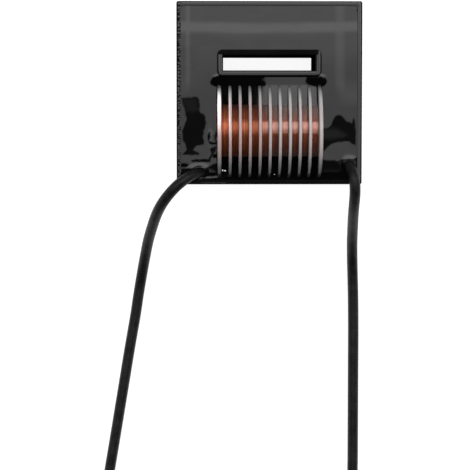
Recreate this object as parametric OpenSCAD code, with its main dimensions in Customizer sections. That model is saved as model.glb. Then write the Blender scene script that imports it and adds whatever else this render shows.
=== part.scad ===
// High voltage transformer, potted in an open tray.
// A sectioned secondary bobbin lies half sunk in resin, on one leg of a closed ferrite core.
// A moulded slot beside it passes through the tray and through the core's window,
// so that the user can wind a heavy primary around the other leg.
// X runs along the bobbin, Y from the leads to the slot, Z up out of the open tray.
// The origin is at the middle of the tray's back face.

/* [Tray] */
// Thickness of the tray's side walls
tray_wall = 1.2; // [0.8:0.1:2.5]
// Thickness of the tray's floor
tray_floor = 1.4; // [0.8:0.1:3]
// Radius of the tray's upright outer corners
tray_corner_r = 0.8; // [0.3:0.1:2]
// Resin between the core's side legs and the tray's walls
side_margin = 1.2; // [0.8:0.1:5]
// Resin between the core's far leg and the tray's far wall
far_margin = 3.25; // [0.8:0.05:8]

/* [Slot for the primary] */
// Clear depth of the slot, along Y
slot_d = 4.3; // [4.2:0.1:10]
// Wall of the sleeve around the slot
sleeve_wall = 1.4; // [0.8:0.1:2.5]
// Outer corner radius of the sleeve
sleeve_corner_r = 1.5; // [0.8:0.1:2]
// Distance between the sleeve and the bobbin's flanges
sleeve_gap = 1.65; // [0.5:0.05:5]
// Distance between the sleeve's ends and the core's side legs
sleeve_end_gap = 0.7; // [0.3:0.1:4]
// How far the sleeve's lip stands above the rim of the tray
lip_rise = 0.2; // [0:0.1:2]
// Rounding along the top of the lip
lip_round = 0.5; // [0.1:0.1:0.7]

/* [Resin] */
// Depth of the resin's surface below the rim
resin_drop = 0.6; // [0.5:0.1:2]
// Depth of resin over the core
core_cover = 0.5; // [0.3:0.1:3]
// How high the resin climbs up the walls
meniscus_h = 0.4; // [0.1:0.1:0.5]
// How far from a wall the climb begins
meniscus_reach = 1.2; // [0.5:0.1:1.5]

/* [Bobbin] */
// Outer diameter of the flanges
flange_d = 26.2; // [23:0.2:36]
// Length of the bobbin over its end flanges
bobbin_l = 28.2; // [24:0.2:40]
// Number of sections that carry wire
section_count = 10; // [4:1:10]
// Thickness of the two end flanges
end_flange_t = 1.2; // [0.8:0.1:1.6]
// Thickness of the flanges between sections
inner_flange_t = 0.8; // [0.5:0.05:1]
// Bevel at the outer edge of each flange
flange_bevel = 0.15; // [0.05:0.05:0.2]
// Outer diameter of the tube that the wire is wound on
tube_d = 13; // [12.8:0.1:14]
// Width of the notch that lets the wire cross a flange
notch_w = 1.6; // [1:0.1:2.4]
// Gap between the flanges and the tray's floor and near wall
bobbin_gap = 0.1; // [0.05:0.05:1]

/* [Winding] */
// Outer diameter of the wound wire
winding_d = 20; // [17:0.2:21]
// Turns that lie side by side across one section
turns_across = 6; // [3:1:8]
// Depth of the groove between neighbouring turns
turn_groove = 0.07; // [0.02:0.01:0.12]
// Diameter of the wire between sections and out to the solder joints
wire_d = 0.35; // [0.2:0.05:0.5]

/* [Core] */
// Width of the core's legs in the plane of the tray
core_leg_w = 8; // [6:0.1:8.4]
// Thickness of the core, along Z
core_leg_t = 7; // [5:0.1:7.4]
// Gap in the core, filled by one spacer at each joint
core_gap = 0.2; // [0.1:0.05:0.6]
// Bevel on the core's outer corners
core_bevel = 1.2; // [0.4:0.1:2]
// Clearance between the core and the bobbin's bore
bore_clearance = 0.2; // [0.1:0.05:0.3]
// Clearance between the core's window and what stands in it
window_clearance = 0.5; // [0.2:0.1:0.6]

/* [Leads] */
// Outer diameter of the insulated leads
lead_d = 3; // [2.4:0.1:3]
// Diameter of the tinned strands at the free end
lead_tip_d = 1; // [0.6:0.1:1.6]
// Length of the bare tinned end
lead_tip_l = 6; // [3:0.5:10]
// Diameter of the solder bead on the buried end
solder_d = 1.8; // [1.2:0.1:2]
// Length of the solder bead
solder_l = 1.8; // [1.2:0.1:2.4]

/* [Hidden] */
$fn = 96;

// A cut goes this much past the faces that it opens
past = 1;
// Sides of a lead's tube and of a fine wire, and points in each quarter turn of a corner and of the lip
lead_sides = 8;
wire_sides = 6;
corner_steps = 6;
lip_steps = 4;

// The core closes round the bobbin, and the slot's sleeve fills the rest of its window
flange_r = flange_d / 2;
window_x = bobbin_l / 2 + window_clearance;
core_x = window_x + core_leg_w;
sleeve_w = 2 * (window_x - sleeve_end_gap);
sleeve_d = slot_d + 2 * sleeve_wall;
slot_w = sleeve_w - 2 * sleeve_wall;
bore_w = core_leg_w + 2 * bore_clearance;
bore_t = core_leg_t + 2 * bore_clearance;

// The tray's cavity is as wide and as deep as what it holds
cavity_w = 2 * (core_x + side_margin);
cavity_d = bobbin_gap + flange_d + sleeve_gap + sleeve_d + window_clearance + core_leg_w + far_margin;
tray_w = cavity_w + 2 * tray_wall;
tray_d = cavity_d + 2 * tray_wall;

// Across the tray, from the wall that the leads cross to the far wall
bobbin_y = -cavity_d / 2 + bobbin_gap + flange_r;
slot_y = bobbin_y + flange_r + sleeve_gap + sleeve_d / 2;
window_y0 = bobbin_y + core_leg_w / 2;
window_y1 = slot_y + sleeve_d / 2 + window_clearance;
core_y0 = bobbin_y - core_leg_w / 2;
core_y1 = window_y1 + core_leg_w;

// Up from the tray's back face: the bobbin, the resin that covers the core, the rim and the lip
bobbin_z = tray_floor + bobbin_gap + flange_r;
resin_z = bobbin_z + core_leg_t / 2 + core_cover;
tray_h = resin_z + resin_drop;
lip_z = tray_h + lip_rise;
lip_r = min(lip_round, sleeve_wall / 2, (lip_z - resin_z) / 2);

// Along the bobbin
section_w = (bobbin_l - 2 * end_flange_t - (section_count - 1) * inner_flange_t) / section_count;
section_pitch = section_w + inner_flange_t;
first_section_x = -bobbin_l / 2 + end_flange_t;

// The wire leaves the outer layer of each section just under its surface
wire_r = winding_d / 2 - wire_d;
// Directions around the bobbin, from +Y towards +Z, where the wire crosses its flanges
crossover_angle = -115;
start_angle = 176;
finish_angle = -162;

// Routes of the leads' middles, from the solder joint to the free end, as steps in X and Y
// from the tray's near left and near right corners, and heights above its back face
left_points = [
    [8.6, 3.9, 15.3], [7.4, 3.6, 17.1], [5.8, 3.1, 18.8], [3.9, 2.5, 20.4],
    [1.8, 1.1, 21.1], [-0.2, -0.6, 21.2], [-2.2, -2.8, 20.4], [-4, -5.3, 18.9],
    [-5.5, -8.2, 16.4], [-6.8, -11.8, 12.8], [-8, -15.8, 8.9], [-9, -20.4, 5.3],
    [-10, -25.6, 2.8], [-11, -31.4, 1.7], [-12, -37.9, 1.5], [-13.5, -46.4, 1.5],
    [-15, -55.4, 1.5], [-16.5, -64.4, 1.5], [-18, -73.4, 1.5], [-19.5, -82.4, 1.5],
    [-20.5, -90.4, 1.5], [-20.5, -98.4, 1.5], [-19, -106.4, 1.5], [-15.5, -113.9, 1.5],
    [-10, -120.2, 1.5]];
right_points = [
    [-5, 7.2, 13.4], [-4.3, 6.4, 15.5], [-3.6, 5.6, 17.5], [-2.9, 4.3, 19.3],
    [-2.3, 2.4, 20.6], [-2, 0.2, 21], [-1.9, -2.1, 20.6], [-1.9, -4.3, 19.2],
    [-1.9, -6.7, 17], [-1.8, -9.4, 13.9], [-1.6, -12.6, 10.3], [-1.4, -16.4, 6.8],
    [-1.1, -21, 3.8], [-0.8, -26.4, 2], [-0.6, -32.4, 1.5], [-0.5, -41.4, 1.5],
    [-0.5, -50.4, 1.5], [-0.5, -59.4, 1.5], [-0.5, -68.4, 1.5], [-0.5, -77.4, 1.5],
    [-0.5, -85.4, 1.5], [0, -93.4, 1.5], [1.5, -101.4, 1.5], [4.5, -108.9, 1.5],
    [9, -115.7, 1.5], [15, -120.6, 1.5]];
left_route = [for (p = left_points) p + [-tray_w / 2, -tray_d / 2, 0]];
right_route = [for (p = right_points) p + [tray_w / 2, -tray_d / 2, 0]];

// ---------- plain shapes ----------

// Points of a rectangle with rounded corners, centred on the origin
function rounded_points(w, d, r) =
    [for (corner = [0:3])
        let (sx = [1, -1, -1, 1][corner], sy = [1, 1, -1, -1][corner])
        for (k = [0:corner_steps])
            let (a = 90 * (corner + k / corner_steps))
            [sx * (w / 2 - r) + r * cos(a), sy * (d / 2 - r) + r * sin(a)]];

// Points of one ring of a tube: the last ring stands square to the route's end
function unit(v) = v / norm(v);
function heading(route, i) =
    unit(route[min(i + 1, len(route) - 1)] - route[max(i - 1, 0)]);
function tube_ring(route, i, r, sides) =
    let (t = heading(route, i),
         u = unit(cross(t, abs(t.z) < 0.9 ? [0, 0, 1] : [0, 1, 0])),
         v = cross(u, t))
    [for (k = [0:sides - 1])
        route[i] + r * (cos(360 * (k + 0.5) / sides) * u + sin(360 * (k + 0.5) / sides) * v)];

// A tube swept along a route
module swept_tube(route, d, sides) {
    rings = len(route);
    r = d / 2 / cos(180 / sides);
    points = [for (i = [0:rings - 1]) each tube_ring(route, i, r, sides)];
    walls = [for (i = [0:rings - 2], k = [0:sides - 1])
        let (a = i * sides + k, b = i * sides + (k + 1) % sides)
        each [[a, b, a + sides], [b, b + sides, a + sides]]];
    first_cap = [[for (k = [0:sides - 1]) sides - 1 - k]];
    last_cap = [[for (k = [0:sides - 1]) (rings - 1) * sides + k]];
    polyhedron(points, concat(first_cap, walls, last_cap));
}

// Puts what is drawn along +Z at a point, turned towards a direction
module aim(point, direction) {
    d = unit(direction);
    translate(point)
        rotate([0, acos(d.z), atan2(d.y, d.x)])
            children();
}

// A fine round wire through a few points
module fine_wire(points) {
    swept_tube(points, wire_d, wire_sides);
}

// Turns a profile of [radius, distance along X] about the bobbin's axis
module about_bobbin(profile) {
    translate([0, bobbin_y, bobbin_z])
        rotate([0, 90, 0])
            rotate_extrude()
                polygon(profile);
}

// ---------- tray ----------

module cavity_outline() {
    polygon(rounded_points(cavity_w, cavity_d, tray_corner_r));
}

// The sleeve from the tray's back face up, with the top edge of its lip rounded over
module sleeve_solid() {
    corner_r = min(sleeve_corner_r, sleeve_d / 2 - 0.1);
    post_x = sleeve_w / 2 - corner_r;
    post_y = sleeve_d / 2 - corner_r;
    bend = [for (k = [0:lip_steps])
        let (a = 90 * k / lip_steps)
        [corner_r - lip_r + lip_r * cos(a), lip_z - lip_r + lip_r * sin(a)]];
    hull()
        for (sx = [-1, 1], sy = [-1, 1])
            translate([sx * post_x, slot_y + sy * post_y, 0])
                rotate_extrude($fn = 24)
                    polygon(concat([[0, 0], [corner_r, 0]], bend, [[0, lip_z]]));
}

module case() {
    color([0.10, 0.10, 0.10])
        difference() {
            union() {
                difference() {
                    linear_extrude(tray_h)
                        polygon(rounded_points(tray_w, tray_d, tray_corner_r));
                    translate([0, 0, tray_floor])
                        linear_extrude(tray_h)
                            cavity_outline();
                }
                sleeve_solid();
            }
            translate([-slot_w / 2, slot_y - slot_d / 2, -past])
                cube([slot_w, slot_d, lip_z + 2 * past]);
        }
}

// ---------- resin ----------

// One straight length of the resin's climb, along X, highest at y = 0
module meniscus_strip(length) {
    curve = [for (k = [0:corner_steps])
        let (a = 90 * k / corner_steps)
        [meniscus_reach * (1 - sin(a)), meniscus_h * (1 - cos(a))]];
    translate([-length / 2, 0, resin_z])
        rotate([90, 0, 90])
            linear_extrude(length)
                polygon(concat([[0, -meniscus_h], [meniscus_reach, -meniscus_h]], curve));
}

// The climb along the four sides of a rectangle: side is 1 on walls round it, -1 on a post inside it
module meniscus_frame(w, d, corner_r, side) {
    for (turn = [0:3])
        rotate([0, 0, 90 * turn])
            translate([0, -side * (turn % 2 == 0 ? d : w) / 2, 0])
                meniscus_strip((turn % 2 == 0 ? w : d) - 2 * corner_r);
}

module potting_resin() {
    color([0.07, 0.07, 0.07])
        difference() {
            union() {
                translate([0, 0, tray_floor])
                    linear_extrude(resin_z - tray_floor)
                        cavity_outline();
                intersection() {
                    union() {
                        meniscus_frame(cavity_w, cavity_d, 0, 1);
                        translate([0, slot_y, 0])
                            meniscus_frame(sleeve_w, sleeve_d, sleeve_corner_r, -1);
                    }
                    linear_extrude(tray_h)
                        cavity_outline();
                }
            }
            sleeve_solid();
            about_bobbin(bobbin_profile(winding_d / 2));
            core_ring();
            for (route = [left_route, right_route]) {
                swept_tube(route, lead_d, lead_sides);
                solder_bead(route);
            }
            start_wire();
            finish_wire();
        }
}

// ---------- bobbin and windings ----------

// Where section i of 1 to section_count begins, along X
function section_x(i) = first_section_x + (i - 1) * section_pitch;

// Half outline of the bobbin, filled to floor_r between its flanges
function bobbin_profile(floor_r) = concat(
    [[0, -bobbin_l / 2], [flange_r - flange_bevel, -bobbin_l / 2], [flange_r, -bobbin_l / 2 + flange_bevel]],
    [for (i = [1:section_count])
        let (a = section_x(i), b = a + section_w)
        each [[flange_r, a - flange_bevel], [flange_r - flange_bevel, a], [floor_r, a],
              [floor_r, b], [flange_r - flange_bevel, b], [flange_r, b + flange_bevel]]],
    [[flange_r, bobbin_l / 2 - flange_bevel], [flange_r - flange_bevel, bobbin_l / 2], [0, bobbin_l / 2]]);

// A point at radius r and an angle around the bobbin's axis
function round_bobbin(x, r, angle) = [x, bobbin_y + r * cos(angle), bobbin_z + r * sin(angle)];

// The notch through one flange, open at its edge
module flange_notch(x, thickness, angle) {
    notch_r = wire_r - wire_d;
    translate(round_bobbin(x - past / 8, 0, 0))
        rotate([angle, 0, 0])
            translate([0, notch_r, -notch_w / 2])
                cube([thickness + past / 4, flange_r - notch_r + past, notch_w]);
}

module bobbin() {
    color([0.86, 0.86, 0.84])
        difference() {
            about_bobbin(bobbin_profile(tube_d / 2));
            translate([-bobbin_l / 2 - past, bobbin_y - bore_w / 2, bobbin_z - bore_t / 2])
                cube([bobbin_l + 2 * past, bore_w, bore_t]);
            for (i = [1:1:section_count - 1])
                flange_notch(section_x(i) + section_w, inner_flange_t, crossover_angle);
            flange_notch(-bobbin_l / 2, end_flange_t, start_angle);
            flange_notch(bobbin_l / 2 - end_flange_t, end_flange_t, finish_angle);
        }
}

// The wire in section i, with a groove between neighbouring turns
module winding(i) {
    turn_w = section_w / turns_across;
    bumps = [for (turn = [0:turns_across - 1], part = [0:4])
        let (f = part / 4 * 2 - 1)
        if (part > 0 || turn == 0)
            [winding_d / 2 - turn_groove * f * f, section_x(i) + (turn + part / 4) * turn_w]];
    color([0.72, 0.38, 0.20])
        about_bobbin(concat([[tube_d / 2, section_x(i)]], bumps, [[tube_d / 2, section_x(i) + section_w]]));
}

module crossover_wires() {
    color([0.72, 0.38, 0.20])
        for (i = [1:1:section_count - 1])
            fine_wire([round_bobbin(section_x(i) + section_w, wire_r, crossover_angle),
                       round_bobbin(section_x(i + 1), wire_r, crossover_angle)]);
}

// ---------- core ----------

// The whole closed core, with its gaps still filled
module core_ring() {
    translate([0, 0, bobbin_z - core_leg_t / 2])
        linear_extrude(core_leg_t)
            difference() {
                polygon([[core_bevel - core_x, core_y0], [core_x - core_bevel, core_y0],
                         [core_x, core_y0 + core_bevel], [core_x, core_y1 - core_bevel],
                         [core_x - core_bevel, core_y1], [core_bevel - core_x, core_y1],
                         [-core_x, core_y1 - core_bevel], [-core_x, core_y0 + core_bevel]]);
                translate([-window_x, window_y0])
                    square([2 * window_x, window_y1 - window_y0]);
            }
}

// One U-shaped half, on the side of sign sx
module core_half(sx) {
    intersection() {
        core_ring();
        translate([sx > 0 ? core_gap / 2 : -core_gap / 2 - tray_w, -tray_d / 2, 0])
            cube([tray_w, tray_d, tray_h]);
    }
}

// The spacer in the leg whose inner side is at y
module gap_bar(y) {
    translate([-core_gap / 2, y, bobbin_z - core_leg_t / 2])
        cube([core_gap, core_leg_w, core_leg_t]);
}

module core_half_left() {
    color([0.22, 0.22, 0.23])
        core_half(-1);
}

module core_half_right() {
    color([0.22, 0.22, 0.23])
        core_half(1);
}

module gap_spacer_upper() {
    color([0.85, 0.75, 0.45])
        gap_bar(window_y1);
}

module gap_spacer_lower() {
    color([0.85, 0.75, 0.45])
        gap_bar(core_y0);
}

// ---------- leads and joints ----------

// The solder bead that caps the buried end of a lead, with a flat nose where the fine wire enters
module solder_bead(route) {
    r = solder_d / 2;
    bulge = [for (k = [0:corner_steps])
        let (a = 90 * k / corner_steps)
        [max(wire_d, r * cos(a)), solder_l - r + r * sin(a)]];
    aim(route[0], -heading(route, 0))
        rotate_extrude()
            polygon(concat([[0, 0], [r, 0]], bulge, [[0, solder_l]]));
}

// The last two points of a fine wire that runs straight into the bead's nose
function into_bead(route) =
    [for (l = [solder_l + 2 * wire_d, solder_l]) route[0] - heading(route, 0) * l];

module start_wire() {
    color([0.72, 0.38, 0.20])
        fine_wire(concat([round_bobbin(section_x(1), wire_r, start_angle),
                          round_bobbin(-bobbin_l / 2 - wire_d, wire_r, start_angle)],
                         into_bead(left_route)));
}

module finish_wire() {
    color([0.72, 0.38, 0.20])
        fine_wire(concat([round_bobbin(section_x(section_count) + section_w, wire_r, finish_angle),
                          round_bobbin(bobbin_l / 2 + wire_d, wire_r, finish_angle)],
                         into_bead(right_route)));
}

module solder_joint_left() {
    color([0.75, 0.76, 0.78])
        solder_bead(left_route);
}

module solder_joint_right() {
    color([0.75, 0.76, 0.78])
        solder_bead(right_route);
}

module lead_left() {
    color([0.12, 0.12, 0.12])
        swept_tube(left_route, lead_d, lead_sides);
}

module lead_right() {
    color([0.12, 0.12, 0.12])
        swept_tube(right_route, lead_d, lead_sides);
}

// The bare tinned strands past the end of the insulation
module lead_tip(route) {
    last = len(route) - 1;
    color([0.78, 0.78, 0.76])
        aim(route[last], heading(route, last))
            cylinder(h = lead_tip_l, d = lead_tip_d);
}

case();
potting_resin();
bobbin();
winding(1);  // winding_01
winding(2);  // winding_02
winding(3);  // winding_03
winding(4);  // winding_04
winding(5);  // winding_05
winding(6);  // winding_06
winding(7);  // winding_07
winding(8);  // winding_08
winding(9);  // winding_09
winding(10);  // winding_10
crossover_wires();
core_half_left();
core_half_right();
gap_spacer_upper();
gap_spacer_lower();
start_wire();
finish_wire();
solder_joint_left();
solder_joint_right();
lead_left();
lead_right();
lead_tip(left_route);  // lead_left_tip
lead_tip(right_route);  // lead_right_tip
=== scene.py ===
# %% [markdown]
# A high voltage transformer of the potted kind: a shallow black tray, a white sectioned bobbin
# wound with fine copper wire, a ferrite core that closes round it, and black resin poured over
# all of it. Two thick leads come up out of the resin and cross the tray's edge.
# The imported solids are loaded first. They are the fixed frame that every piece is fitted to.

# %% Load the frame
import math

import bmesh
import bpy
import numpy as np
from mathutils import Matrix, Vector, noise


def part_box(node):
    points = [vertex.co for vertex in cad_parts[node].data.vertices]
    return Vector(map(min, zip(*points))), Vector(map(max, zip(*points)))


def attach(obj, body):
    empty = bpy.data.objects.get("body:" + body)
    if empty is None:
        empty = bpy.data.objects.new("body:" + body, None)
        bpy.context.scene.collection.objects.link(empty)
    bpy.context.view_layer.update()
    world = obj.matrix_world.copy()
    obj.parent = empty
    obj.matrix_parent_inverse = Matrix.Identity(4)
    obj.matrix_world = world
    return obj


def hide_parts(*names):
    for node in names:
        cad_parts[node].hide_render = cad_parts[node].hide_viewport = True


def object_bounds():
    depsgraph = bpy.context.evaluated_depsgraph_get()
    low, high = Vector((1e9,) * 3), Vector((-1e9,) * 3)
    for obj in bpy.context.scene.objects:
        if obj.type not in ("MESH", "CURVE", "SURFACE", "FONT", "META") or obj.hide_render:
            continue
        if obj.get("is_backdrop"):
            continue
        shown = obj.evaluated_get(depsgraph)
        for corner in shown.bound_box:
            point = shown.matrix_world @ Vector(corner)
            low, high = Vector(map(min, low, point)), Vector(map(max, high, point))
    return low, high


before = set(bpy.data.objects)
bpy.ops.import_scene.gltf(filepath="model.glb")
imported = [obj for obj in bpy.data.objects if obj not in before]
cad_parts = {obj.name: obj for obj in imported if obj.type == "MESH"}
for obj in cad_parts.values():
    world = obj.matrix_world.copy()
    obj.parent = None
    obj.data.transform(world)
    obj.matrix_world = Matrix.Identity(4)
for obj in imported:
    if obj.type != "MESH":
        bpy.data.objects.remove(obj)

MM = 0.001
SEED = 7


def plain(bounds):
    """Bounds as plain lists of numbers."""
    return [[float(value) for value in corner] for corner in bounds]


cad_box = plain(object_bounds())
case_low, case_high = (Vector(corner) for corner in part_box("case"))
print("tray", [round(v / MM, 2) for v in case_high - case_low], "mm")

# %% [markdown]
# The camera looks almost straight down into the tray from half a metre up, and a little from the
# far side, so both leads run down the picture. It is turned by hand from three directions,
# because a track constraint can't tell which way is up when a camera looks down.

# %% Camera
CAMERA_AT = Vector((-18.7, -9.2, 479.2)) * MM
CAMERA_AIM = Vector((-9.26, -38.3, 19.2)) * MM
HALF_PICTURE = 235.0      # half the picture's width, in pixels
FOCAL_PIXELS = 1704.0
SENSOR_W = 36.0
NEAREST_SEEN = 10 * MM


def placed(name, data):
    """A new object in the scene, at the origin."""
    made = bpy.data.objects.new(name, data)
    bpy.context.scene.collection.objects.link(made)
    return made


view_line = (CAMERA_AIM - CAMERA_AT).normalized()
view_right = view_line.cross(Vector((0, 1, 0))).normalized()
view_up = view_right.cross(view_line)
turn = Matrix((view_right, view_up, -view_line)).transposed()

camera_data = bpy.data.cameras.new("camera")
camera_data.sensor_width = SENSOR_W
camera_data.lens = SENSOR_W / 2 * FOCAL_PIXELS / HALF_PICTURE
camera_data.clip_start = NEAREST_SEEN
camera = placed("camera", camera_data)
camera.matrix_world = Matrix.Translation(CAMERA_AT) @ turn.to_4x4()
bpy.context.scene.camera = camera
print("lens", round(camera_data.lens, 1), "mm")

# %% [markdown]
# The leads are silicone insulated wire, 3 mm thick and soft. Each one starts at its solder joint
# inside the resin, climbs out, bends over the rim and lies down on the table. A bevelled curve
# through the route's points is the right tool: the thickness stays true round every bend, and
# the curve's own line is the length that would be cut from the reel.

# %% Leads: routes
LEAD_D = 3.0 * MM
TIP_L = 6.0 * MM

# Steps from the tray's near left and near right corners, and heights, all in millimetres
LEFT_STEPS = [
    (8.6, 3.9, 15.3), (7.4, 3.6, 17.1), (5.8, 3.1, 18.8), (3.9, 2.5, 20.4), (1.8, 1.1, 21.1),
    (-0.2, -0.6, 21.2), (-2.2, -2.8, 20.4), (-4, -5.3, 18.9), (-5.5, -8.2, 16.4),
    (-6.8, -11.8, 12.8), (-8, -15.8, 8.9), (-9, -20.4, 5.3), (-10, -25.6, 2.8),
    (-11, -31.4, 1.7), (-12, -37.9, 1.5), (-13.5, -46.4, 1.5), (-15, -55.4, 1.5),
    (-16.5, -64.4, 1.5), (-18, -73.4, 1.5), (-19.5, -82.4, 1.5), (-20.5, -90.4, 1.5),
    (-20.5, -98.4, 1.5), (-19, -106.4, 1.5), (-15.5, -113.9, 1.5), (-10, -120.2, 1.5)]
RIGHT_STEPS = [
    (-5, 7.2, 13.4), (-4.3, 6.4, 15.5), (-3.6, 5.6, 17.5), (-2.9, 4.3, 19.3), (-2.3, 2.4, 20.6),
    (-2, 0.2, 21), (-1.9, -2.1, 20.6), (-1.9, -4.3, 19.2), (-1.9, -6.7, 17), (-1.8, -9.4, 13.9),
    (-1.6, -12.6, 10.3), (-1.4, -16.4, 6.8), (-1.1, -21, 3.8), (-0.8, -26.4, 2),
    (-0.6, -32.4, 1.5), (-0.5, -41.4, 1.5), (-0.5, -50.4, 1.5), (-0.5, -59.4, 1.5),
    (-0.5, -68.4, 1.5), (-0.5, -77.4, 1.5), (-0.5, -85.4, 1.5), (0, -93.4, 1.5),
    (1.5, -101.4, 1.5), (4.5, -108.9, 1.5), (9, -115.7, 1.5), (15, -120.6, 1.5)]


def route_from(corner_x, steps):
    """The route's points in metres, from a near corner of the tray."""
    corner = Vector((corner_x, case_low.y, 0))
    return [corner + Vector(step) * MM for step in steps]


def path_length(points):
    """The length of a line through the points."""
    return sum((b - a).length for a, b in zip(points, points[1:]))


routes = {
    "lead_left": route_from(case_low.x, LEFT_STEPS),
    "lead_right": route_from(case_high.x, RIGHT_STEPS),
}
for name, points in routes.items():
    print(name, round(path_length(points) / MM, 1), "mm along its points")


# %% Leads: smooth lines
def smooth_line(points, pieces):
    """A Catmull-Rom line through the points, kept from bulging past the outermost ones."""
    ends = [2 * points[0] - points[1]] + list(points) + [2 * points[-1] - points[-2]]
    line = []
    for a, b, c, d in zip(ends, ends[1:], ends[2:], ends[3:]):
        for k in range(pieces):
            t = k / pieces
            line.append(0.5 * (2 * b + (c - a) * t + (2 * a - 5 * b + 4 * c - d) * t * t
                               + (3 * b - a - 3 * c + d) * t * t * t))
    line.append(points[-1].copy())
    for axis in range(3):
        values = [point[axis] for point in points]
        for place in line:
            place[axis] = min(max(place[axis], min(values)), max(values))
    return line


def tube_curve(name, line, diameter, sides=5):
    """A round bevelled curve along a line, with its ends closed."""
    data = bpy.data.curves.new(name, "CURVE")
    data.dimensions = "3D"
    data.bevel_depth = diameter / 2
    data.bevel_resolution = sides
    data.use_fill_caps = True
    spline = data.splines.new("POLY")
    spline.points.add(len(line) - 1)
    for point, place in zip(spline.points, line):
        point.co = (*place, 1)
    return placed(name, data)


STEPS_BETWEEN = 5
lead_lines = {name: smooth_line(points, STEPS_BETWEEN) for name, points in routes.items()}
leads = {}
for name, line in lead_lines.items():
    leads[name] = tube_curve(name + "_insulation", line, LEAD_D)
    print(name, round(path_length(line) / MM, 2), "mm along its smooth line")

# %% [markdown]
# Light. The studio is one soft box overhead, a tall white card behind the block on the right, a
# faint panel low in front, a glow to both sides, a dim horizon and a dark room between them. They
# are drawn on the world by direction, which gives clean reflections in the glossy resin with
# little noise. A fill from above reaches matt surfaces only, and the camera sees plain white.
# Every node tree below is written with the same few helpers.

# %% Tools for node trees
def feed(tree, node, values):
    """Sets a node's inputs to plain values, or links them where a socket is given."""
    for key, value in values.items():
        if isinstance(value, bpy.types.NodeSocket):
            tree.links.new(value, node.inputs[key])
        else:
            node.inputs[key].default_value = value


def node_in(tree, kind, values=None, **settings):
    """A new node with its settings made and its inputs fed."""
    made = tree.nodes.new(kind)
    for key, value in settings.items():
        setattr(made, key, value)
    feed(tree, made, values or {})
    return made


def math_node(tree, operation, *values, clamp=False):
    """A Math node fed by numbers or by sockets; gives its output socket."""
    made = node_in(tree, "ShaderNodeMath", dict(enumerate(values)), operation=operation)
    made.use_clamp = clamp
    return made.outputs[0]


def chained(tree, operation, values):
    """One operation over all the values, from the first to the last."""
    result = values[0]
    for value in values[1:]:
        result = math_node(tree, operation, result, value)
    return result


def product(tree, *values):
    """All the values multiplied."""
    return chained(tree, "MULTIPLY", values)


def total(tree, *values):
    """All the values added."""
    return chained(tree, "ADD", values)


def greatest(tree, *values):
    """The greatest of the values."""
    return chained(tree, "MAXIMUM", values)


# %% Tools for masks
def ramp_up(tree, value, low, high):
    """0 below low, 1 above high, and smooth between them."""
    made = node_in(tree, "ShaderNodeMapRange", {"Value": value, "From Min": low, "From Max": high},
                   interpolation_type="SMOOTHSTEP")
    return made.outputs[0]


def window_mask(tree, value, low, high, soft):
    """1 between low and high, falling to 0 over a soft edge on both sides."""
    rise = ramp_up(tree, value, low - soft, low + soft)
    fall = ramp_up(tree, value, high - soft, high + soft)
    return math_node(tree, "SUBTRACT", rise, fall)


# %% World: directions
world = bpy.data.worlds.new("studio")
bpy.context.scene.world = world
world.use_nodes = True
sky = world.node_tree
sky.nodes.clear()
direction = node_in(sky, "ShaderNodeTexCoord").outputs["Generated"]
toward_x, toward_y, toward_z = node_in(sky, "ShaderNodeSeparateXYZ", {0: direction}).outputs
lean_x = math_node(sky, "ARCTAN2", toward_x, toward_z)
lean_y = math_node(sky, "ARCTAN2", toward_y, toward_z)


def lean_window(lean, low, high, soft):
    """1 where a direction leans between two angles from straight up, in degrees."""
    return window_mask(sky, lean, math.radians(low), math.radians(high), math.radians(soft))


print("world directions ready")

# %% World: soft box
# A box with a wide strip behind it. It is brighter round its dim middle, and most on its far side.
BOX_LEVEL = 1.4
BORDER_GAIN = 0.5
FAR_GAIN = 0.45

box = product(sky, lean_window(lean_x, -7, 12, 0.8), lean_window(lean_y, -7, 28, 1.5))
wide = lean_window(lean_x, -55, 55, 4)
strip = product(sky, wide, lean_window(lean_y, 9, 28, 2))
middle = product(sky, lean_window(lean_x, -2.8, 7.2, 1.5), lean_window(lean_y, -6.0, 6.2, 1.8))
border = math_node(sky, "SUBTRACT", 1 + BORDER_GAIN, product(sky, middle, BORDER_GAIN))
far_side = ramp_up(sky, lean_y, math.radians(0.8), math.radians(4.0))
border = product(sky, border, total(sky, product(sky, far_side, FAR_GAIN), 1.0))
box_light = product(sky, greatest(sky, box, strip), border, BOX_LEVEL)
print("soft box level", BOX_LEVEL)

# %% World: card, low panel and room
CARD_LEVEL, STEEP_LEVEL = 1.4, 2.6      # the card's top, and its steep lower part
LOW_LEVEL = 0.05
SIDE_LEVEL, HORIZON_LEVEL, ROOM_LEVEL = 0.7, 0.10, 0.03

card_x = window_mask(sky, toward_x, 0.036, 0.085, 0.002)
card_levels = total(sky, product(sky, lean_window(lean_y, 28, 37, 1.5), CARD_LEVEL),
                    product(sky, lean_window(lean_y, 37, 112, 1.5), STEEP_LEVEL))
low_light = product(sky, wide, lean_window(lean_y, -50, -20, 3), LOW_LEVEL)
card_light = total(sky, product(sky, card_x, card_levels), low_light)
side_glow = product(sky, ramp_up(sky, math_node(sky, "ABSOLUTE", toward_x), 0.7, 0.98), SIDE_LEVEL)
horizon = product(sky, window_mask(sky, toward_z, 0.08, 0.5, 0.08), HORIZON_LEVEL)
room_light = total(sky, side_glow, total(sky, horizon, ROOM_LEVEL))
studio_light = total(sky, box_light, card_light, room_light)
print("card and room levels", CARD_LEVEL, STEEP_LEVEL, ROOM_LEVEL)

# %% World: fill, and what the camera sees
FILL_LEVEL = 3.4
FILL_POWER = 8.0
FILL_Y, FILL_Z = 0.17, 0.985

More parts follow.
